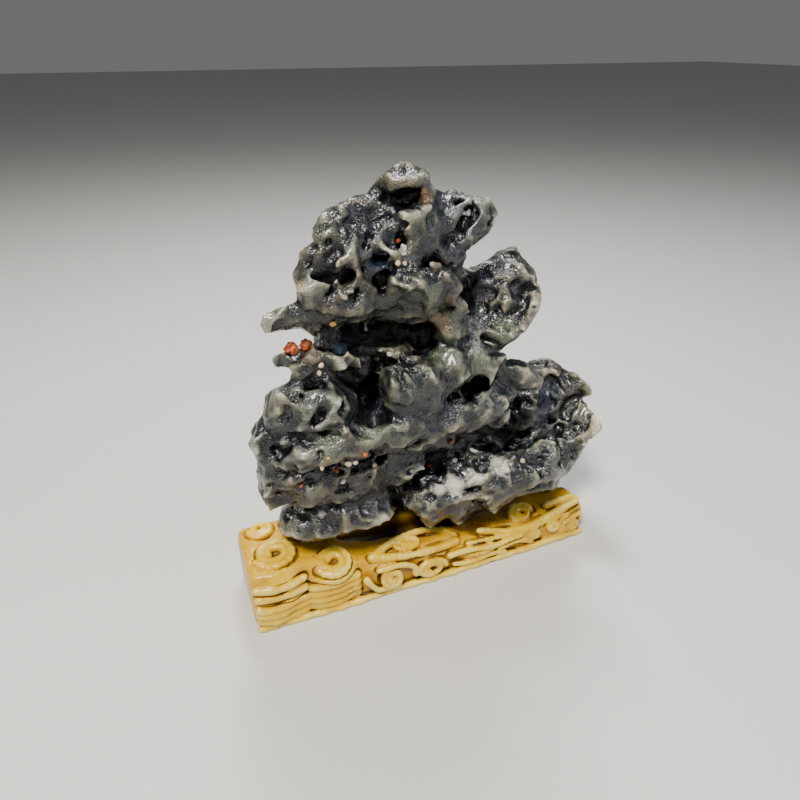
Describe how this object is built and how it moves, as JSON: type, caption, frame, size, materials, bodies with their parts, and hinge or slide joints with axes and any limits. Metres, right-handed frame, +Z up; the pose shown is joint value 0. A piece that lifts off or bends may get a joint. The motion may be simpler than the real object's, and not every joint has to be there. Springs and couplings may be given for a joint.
{
  "type": "ventifact on a display stand",
  "caption": "Upright wind-worn dark stone full of hollows, ledges and ridges, with small pebbles caught in it, resting on a carved yellow scroll stand.",
  "frame": {"origin": "middle of the flat underside of the stand", "axes": "+Z up, +X along the stand towards its low, rounded end, +Y towards the plain back"},
  "size_m": [0.107, 0.0429, 0.1094],
  "materials": {
    "stone": "glossy wind-polished dark agate, opaque",
    "stand": "glossy yellow paint, paler on the carved edges",
    "orange_pebble": "glossy orange pebble",
    "black_crystal": "shiny black faceted crystal",
    "white_pebble": "satin grey-white pebble"
  },
  "bodies": {
    "root": {"stone": "stone", "stand": "stand", "pebble_orange_left": "orange_pebble", "pebble_orange_right": "orange_pebble", "crystal_black": "black_crystal", "pebble_white_long": "white_pebble"}
  },
  "joints": []
}
